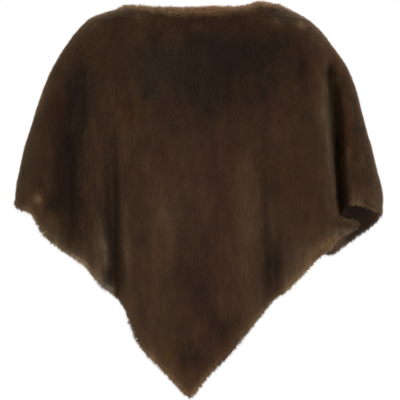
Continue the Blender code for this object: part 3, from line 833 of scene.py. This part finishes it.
def clothShell(name, panel):
    # for each column a closed loop: outer face, round the hem, inner face, round the neck edge
    grid, normals = panel["grid"], panel["normals"]
    columns, rows = grid.shape[:2]
    half = cloth["thickness"] / 2
    middle = grid - normals * (cloth["set"] + half)
    outer, inner = middle + normals * half, middle - normals * half
    turns = np.linspace(0.0, math.pi, cloth["edgeSteps"] + 1)[1:-1]
    hem, neck = [], []
    for turn in turns:
        c, s = math.cos(turn) * half, math.sin(turn) * half
        hem.append(middle[:, -1] + normals[:, -1] * c + panel["hemAway"] * s)
        neck.append(middle[:, 0] - normals[:, 0] * c + panel["neckAway"] * s)
    hem, neck = np.array(hem).swapaxes(0, 1), np.array(neck).swapaxes(0, 1)
    loops = np.concatenate([outer, hem, inner[:, ::-1], neck], axis=1)
    size = loops.shape[1]
    index = np.arange(columns * size).reshape(columns, size)
    after = np.roll(index, -1, axis=1)
    sides = np.stack([index[:-1], after[:-1], after[1:], index[1:]], axis=-1)
    # the two ends, along the seams
    bend = len(turns)
    back = size - bend - 1 - np.arange(rows)
    ends = []
    for column, step in ((index[0], -1), (index[-1], 1)):
        strips = np.stack([column[:rows - 1], column[1:rows],
                           column[back[1:]], column[back[:-1]]], axis=-1)
        ends += strips[:, ::step].tolist()
        ends.append(column[rows - 1:rows + bend + 1][::step].tolist())
        ends.append(np.append(column[size - bend - 1:], column[0])[::step].tolist())
    mesh = bpy.data.meshes.new(name + "Cloth")
    mesh.from_pydata(loops.reshape(-1, 3).tolist(), [], sides.reshape(-1, 4).tolist() + ends)
    mesh.shade_smooth()
    mesh.materials.append(pileBed)
    mesh.materials.append(knitBacking)
    slots = np.zeros((columns - 1, size), np.int32)
    slots[:, rows + bend - 1:2 * rows + bend] = 1
    mesh.polygons.foreach_set("material_index", np.append(slots.ravel(),
                                                          np.zeros(len(ends), np.int32)))
    around = np.concatenate([np.arange(rows), np.full(bend, rows - 1),
                             np.arange(rows)[::-1], np.zeros(bend, int)])
    # the painted light and shade and the tints, for the pile bed and the knit
    writeAttributes(mesh, napTone=panel["tone"][:, around], napTint=panel["tint"][:, around])
    writeMap(mesh, "panelMap", panel["lengths"][:, around].reshape(-1, 2))
    return mesh


def panelGrid(panel):
    grid, unfolded = clothGrid(panel["start"], panel["end"], panel["columns"], cloth["rows"])
    # the two seam lines lie a hair to the panel's own side
    grid[[0, -1], :, 1] = panel["facing"] * cloth["seamGap"] / 2
    return grid, unfolded


def cutLengths(grid):
    # each point's place on the flat cut, in metres
    widths = np.linalg.norm(np.diff(grid, axis=0), axis=-1)
    lengths = np.linalg.norm(np.diff(grid, axis=1), axis=-1)
    u = np.concatenate([np.zeros((1, grid.shape[1])), np.cumsum(widths, axis=0)])
    v = np.concatenate([np.zeros((grid.shape[0], 1)), np.cumsum(lengths, axis=1)], axis=1)
    return np.stack([u - u[-1:] / 2, v], axis=-1)


for name, panel in panels.items():
    panel["grid"], panel["unfolded"] = panelGrid(panel)
    panel["normals"] = gridNormals(panel["grid"])
    # the seam's two sides share the direction straight out, so that no step shows
    for side in (0, -1):
        panel["normals"][side, :, 1] = 0.0
        panel["normals"][side] = unit(panel["normals"][side])
    panel["lengths"] = cutLengths(panel["grid"])
    panel["tone"] = napTone(name, panel)
    panel["tint"] = napTint(name, panel)
    panel["neckAway"] = edgeDirection(panel["grid"], panel["normals"], 0, 1)
    panel["hemAway"] = edgeDirection(panel["grid"], panel["normals"], -1, -2)
    mesh = clothShell(name, panel)
    panel["cloth"] = addObject(name + "Cloth", mesh)
    print(name, "cloth:", len(mesh.polygons), "faces")


# The pile: tufts set on the cloth by a Geometry Nodes tree

pile = {
    "length": 0.0115,
    "width": 0.0013,
    "bend": 0.22,  # how far the outer half of a tuft dips back
    "shoulders": 0.45,  # place along a tuft where it is widest
    "tip": 0.95,
    "lift": 21.0,  # degrees off the cloth
    "liftSpread": 8.0,
    "yawSpread": 15.0,
    "twistSpread": 18.0,
    "swirl": 16.0,  # degrees that the nap wanders from place to place
    "swirlScale": 22.0,
    "swirlGain": 4.0,  # makes up for the narrow range of the noise
    "swirlLift": 0.4,  # share of it that lifts the tufts
    "leastLift": 4.0,
    "sizeSpread": 0.25,
    "firstSeed": 11,
    "seedStep": 20,
    "frontTufts": 520000,  # to the square metre
    "backTufts": 430000,
    "strips": 3,  # pieces across each panel
    "normalBlend": 0.76,  # share of the cloth's own direction in the shading
}
edges = {
    "neckLift": 40.0,  # extra lift of the pile at the neck edge, in degrees
    "neckReach": 0.012,
    "rollSteps": 5,
    "rollTurn": 120.0,  # how far round the edge the fringe goes, in degrees
    "rollStart": 0.006,  # and how far before the edge it starts
    "fringeLift": 38.0,
    "fringeLiftSpread": 24.0,
    "fringeYawSpread": 50.0,
    "neckLoose": 100.0,  # how far the pile turns every way at the neck, in degrees
    "looseReach": 0.007,
    "fringeShade": -0.30,  # stops of painted shade on the fringes
    "frontNeckSize": 0.72,
    "backNeckSize": 0.72,
    "frontHemSize": 0.85,
    "backHemSize": 0.6,
    "bare": {  # no fringe here: inside the crease, at the arm's corner
        "frontHemFringe": ((0.2575, 0.2715), (0.332, 0.350)),
        "backHemFringe": ((0.336, 0.350),),
    },
    "neckTufts": 1500000,
    "hemTufts": 700000,
}


def tuftShape():
    # a narrow leaf that lies along +Y: foot, two shoulders and tip
    length, half = pile["length"], pile["width"] / 2
    wide, tip = pile["shoulders"] * length, pile["tip"] * length
    points = [(0.0, 0.0, 0.0), (half, wide, 0.0), (-half, wide, 0.0),
              (0.0, tip, -pile["bend"] * 0.5 * length)]
    mesh = bpy.data.meshes.new("tuft")
    mesh.from_pydata(points, [], [(0, 1, 2), (2, 1, 3)])
    mesh.shade_smooth()
    return bpy.data.objects.new("tuft", mesh)


tuft = tuftShape()


def pileTree():
    tree = bpy.data.node_groups.new("pileTufts", 'GeometryNodeTree')
    kinds = {"Geometry": 'Geometry', "Tuft": 'Object', "Seed": 'Int', "Finish": 'Material'}
    for name in ("Geometry", "Tuft", "Tufts", "Lift", "Lift Spread", "Yaw Spread",
                 "Twist Spread", "Swirl", "Swirl Scale", "Size", "Size Spread", "Seed", "Finish"):
        tree.interface.new_socket(name, in_out='INPUT',
                                  socket_type='NodeSocket' + kinds.get(name, 'Float'))
    tree.interface.new_socket("Geometry", in_out='OUTPUT', socket_type='NodeSocketGeometry')
    given = addNode(tree, "NodeGroupInput")

    def node(kind, inputs=(), **settings):
        return out(addNode(tree, kind, inputs, **settings))

    def value(name):
        return out(given, name)

    def plus(first, second):
        return calculate(tree, 'ADD', first, second)

    def times(first, second):
        return calculate(tree, 'MULTIPLY', first, second)

    def random(low, high, shift):
        seed = node("FunctionNodeIntegerMath", {0: value("Seed"), 1: shift}, operation='ADD')
        return node("FunctionNodeRandomValue", {"Min": low, "Max": high, "Seed": seed},
                    data_type='FLOAT')

    def spread(name, shift):
        return random(times(value(name), -1.0), value(name), shift)

    def named(name, kind='FLOAT'):
        return node("GeometryNodeInputNamedAttribute", {"Name": name}, data_type=kind)

    def stored(geometry, name, values, kind):
        return node("GeometryNodeStoreNamedAttribute", {
            "Geometry": geometry, "Name": name, "Value": values}, data_type=kind, domain='POINT')

    def turned(rotation, **angles):
        by = node("FunctionNodeEulerToRotation", {0: node("ShaderNodeCombineXYZ", angles)})
        return node("FunctionNodeRotateRotation", {"Rotation": rotation, "Rotate By": by},
                    rotation_space='LOCAL')

    spots = addNode(tree, "GeometryNodeDistributePointsOnFaces", {
        "Mesh": value("Geometry"), "Seed": value("Seed"),
        "Density": times(value("Tufts"), named("napShare"))}, distribute_method='RANDOM')
    kept = stored(out(spots, "Points"), "clothNormal", out(spots, "Normal"), 'FLOAT_VECTOR')
    kept = stored(kept, "tuftTone", random(0.0, 1.0, 7), 'FLOAT')
    rotation = node("FunctionNodeAxesToRotation", {
        "Primary Axis": out(spots, "Normal"),
        "Secondary Axis": named("napDirection", 'FLOAT_VECTOR'),
    }, primary_axis='Z', secondary_axis='Y')
    drift = addNode(tree, "ShaderNodeTexNoise", {
        "Vector": node("GeometryNodeInputPosition"),
        "Scale": value("Swirl Scale"), "Detail": 2.0})
    parts = addNode(tree, "ShaderNodeSeparateXYZ", {0: drift.outputs[1]})
    wander, rise = (times(calculate(tree, 'SUBTRACT', out(parts, axis), 0.5),
                          times(value("Swirl"), pile["swirlGain"])) for axis in "XY")
    loose = times(random(-1.0, 1.0, 6), named("napLoose"))
    yaw = plus(spread("Yaw Spread", 1), plus(wander, loose))
    lift = plus(plus(value("Lift"), named("napLift")),
                plus(spread("Lift Spread", 2), times(rise, pile["swirlLift"])))
    lift = calculate(tree, 'MAXIMUM', lift, math.radians(pile["leastLift"]))
    for angles in ({"Z": yaw}, {"X": lift}, {"Y": spread("Twist Spread", 3)}):
        rotation = turned(rotation, **angles)
    length = plus(value("Size"), spread("Size Spread", 4))
    width = plus(value("Size"), spread("Size Spread", 5))
    size = node("ShaderNodeCombineXYZ", {"X": width, "Y": length, "Z": length})
    shape = addNode(tree, "GeometryNodeObjectInfo", {"Object": value("Tuft")})
    placed = node("GeometryNodeInstanceOnPoints", {
        "Points": kept, "Instance": out(shape, "Geometry"), "Rotation": rotation, "Scale": size})
    real = node("GeometryNodeRealizeInstances", {"Geometry": placed})
    final = node("GeometryNodeSetMaterial", {"Geometry": real, "Material": value("Finish")})
    addNode(tree, "NodeGroupOutput", {"Geometry": final})
    return tree


pileTufts = pileTree()


def readVectors(items):
    values = np.zeros(len(items) * 3, np.float32)
    items.foreach_get("vector", values)
    return values.reshape(-1, 3)


def tuftMap(mesh, place):
    # a cell of the map for every tuft, in the order that the tufts have on the cloth
    tufts = len(mesh.vertices) // 4
    side = math.ceil(math.sqrt(tufts))
    order = np.argsort(place[::4, 1], kind="stable")
    cell = np.zeros((tufts, 2))
    for band in range(0, tufts, side):
        row = order[band:band + side]
        row = row[np.argsort(place[::4, 0][row], kind="stable")]
        cell[row, 0] = np.arange(len(row))
        cell[row, 1] = band // side
    # a leaf's four points in its cell
    leaf = np.array([(0.5, 0.08), (0.92, 0.5), (0.08, 0.5), (0.5, 0.92)])
    points = ((cell[:, None, :] + leaf[None, :, :]) / side).reshape(-1, 2)
    writeMap(mesh, "OFBake", points)


def growPile(name, source, settings):
    # the tufts of one piece as a plain mesh
    holder = addObject(name, source)
    modifier = holder.modifiers.new("pile", 'NODES')
    modifier.node_group = pileTufts
    for item in pileTufts.interface.items_tree:
        if item.in_out == 'INPUT' and item.name in settings:
            modifier[item.identifier] = settings[item.name]
    evaluated = holder.evaluated_get(bpy.context.evaluated_depsgraph_get())
    mesh = bpy.data.meshes.new_from_object(evaluated)
    holder.modifiers.remove(modifier)
    holder.data = mesh
    mesh.name = name
    count = len(mesh.vertices) // 4
    place = readVectors(mesh.attributes["panelPlace"].data)
    clothNormal = readVectors(mesh.attributes["clothNormal"].data)
    writeAttributes(mesh, alongTuft=np.tile([0.0, 0.5, 0.5, 1.0], count))
    tuftMap(mesh, place)
    own = readVectors(mesh.vertex_normals)
    blended = unit(own * (1 - pile["normalBlend"]) + clothNormal * pile["normalBlend"])
    mesh.normals_split_custom_set_from_vertices(blended.tolist())
    for spare in ("panelPlace", "clothNormal", "napDirection", "napLift", "napLoose",
                  "napShare"):
        if spare in mesh.attributes:
            mesh.attributes.remove(mesh.attributes[spare])
    print(name, count, "tufts")
    return holder


def tuftSettings(density, seed, size=1.0, **angles):
    # angles in degrees, those of the pile where none are given
    angles = {**pile, **angles}
    settings = {title: math.radians(angles[name]) for title, name in (
        ("Lift", "lift"), ("Lift Spread", "liftSpread"), ("Yaw Spread", "yawSpread"),
        ("Twist Spread", "twistSpread"), ("Swirl", "swirl"))}
    return {**settings, "Tuft": tuft, "Tufts": density, "Swirl Scale": pile["swirlScale"],
            "Size": size, "Size Spread": pile["sizeSpread"], "Seed": seed, "Finish": pileFur}


def pileSource(name, panel, first, last):
    # the columns of a panel's outer face that one piece of pile covers
    part = slice(first, last + 1)
    grid = panel["grid"][part] - panel["normals"][part] * cloth["set"]
    mesh = gridMesh(name, grid)
    lengths = panel["lengths"][part]
    down = lengths[..., 1]
    # the tufts take the painted light and shade and the tints from the cloth
    writeAttributes(
        mesh, napDirection=unit(np.gradient(grid, axis=1)),
        napLift=np.exp(-down / edges["neckReach"]) * math.radians(edges["neckLift"]),
        napLoose=math.radians(edges["neckLoose"]) * np.exp(-down / edges["looseReach"]),
        napShare=np.ones_like(down), napTone=panel["tone"][part], napTint=panel["tint"][part],
        panelPlace=np.concatenate([lengths, lengths[..., :1] * 0], axis=-1))
    return mesh


def fringeSource(name, panel, row, away):
    # a narrow half round along an edge, from the outer face over towards the inner one
    half = cloth["thickness"] / 2
    normals = panel["normals"][:, row]
    middle = panel["grid"][:, row] - normals * (cloth["set"] + half)
    grid, nap = [middle + normals * half - away * edges["rollStart"]], [away]
    for turn in np.linspace(0.0, math.radians(edges["rollTurn"]), edges["rollSteps"]):
        ray = normals * math.cos(turn) + away * math.sin(turn)
        grid.append(middle + ray * half)
        nap.append(away * math.cos(turn) - normals * math.sin(turn))
    grid, nap = np.array(grid).swapaxes(0, 1), np.array(nap).swapaxes(0, 1)
    along, across, tone, tint = (
        np.repeat(values[:, row, None], grid.shape[1], axis=1) for values in (
            panel["lengths"][..., 0], panel["unfolded"][..., 0], panel["tone"], panel["tint"]))
    share = np.ones_like(across)
    for first, last in edges["bare"].get(name, ()):
        share[(across > first) & (across < last)] = 0.0
    # painted shade on the fringe, below the painted light at its edge
    tone = tone + edges["fringeShade"]
    if row == 0:  # the neck's roll runs the other way, and faces stay outward
        grid, nap, along, tone, tint = (v[::-1] for v in (grid, nap, along, tone, tint))
    mesh = gridMesh(name, grid)
    writeAttributes(
        mesh, napDirection=nap, napLift=np.zeros(tone.size), napLoose=np.zeros(tone.size),
        napShare=share, napTone=tone, napTint=tint,
        panelPlace=np.stack([along, along * 0, along * 0], axis=-1))
    return mesh


seed = pile["firstSeed"]
for name, panel in panels.items():
    panel["piles"] = []
    reach = np.cumsum(panel["lengths"][:, -1, 1])  # so that each piece has its fair share
    cuts = np.searchsorted(reach, np.linspace(reach[0], reach[-1], pile["strips"] + 1))
    for i, (first, last) in enumerate(zip(cuts, cuts[1:])):
        label = f"{name}Pile{i + 1}"
        settings = tuftSettings(pile[name + "Tufts"], seed)
        panel["piles"].append(growPile(label, pileSource(label, panel, first, last), settings))
        seed += pile["seedStep"]
    for edge, row in (("Neck", 0), ("Hem", -1)):
        label = name + edge + "Fringe"
        source = fringeSource(label, panel, row, panel[edge.lower() + "Away"])
        settings = tuftSettings(
            edges[edge.lower() + "Tufts"], seed, edges[name + edge + "Size"],
            lift=edges["fringeLift"], liftSpread=edges["fringeLiftSpread"],
            yawSpread=edges["fringeYawSpread"])
        panel["piles"].append(growPile(label, source, settings))
        seed += pile["seedStep"]
print("pile grown")


# Pieces and their body; the imported panels are hidden

for name, panel in panels.items():
    sheet = panel["cloth"]
    for piece in (sheet, *panel["piles"]):
        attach(piece, "root")
    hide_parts(name)

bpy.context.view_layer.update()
triangles = sum(len(o.data.loop_triangles) or len(o.data.polygons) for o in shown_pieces())
print("pieces ready:", triangles, "faces")
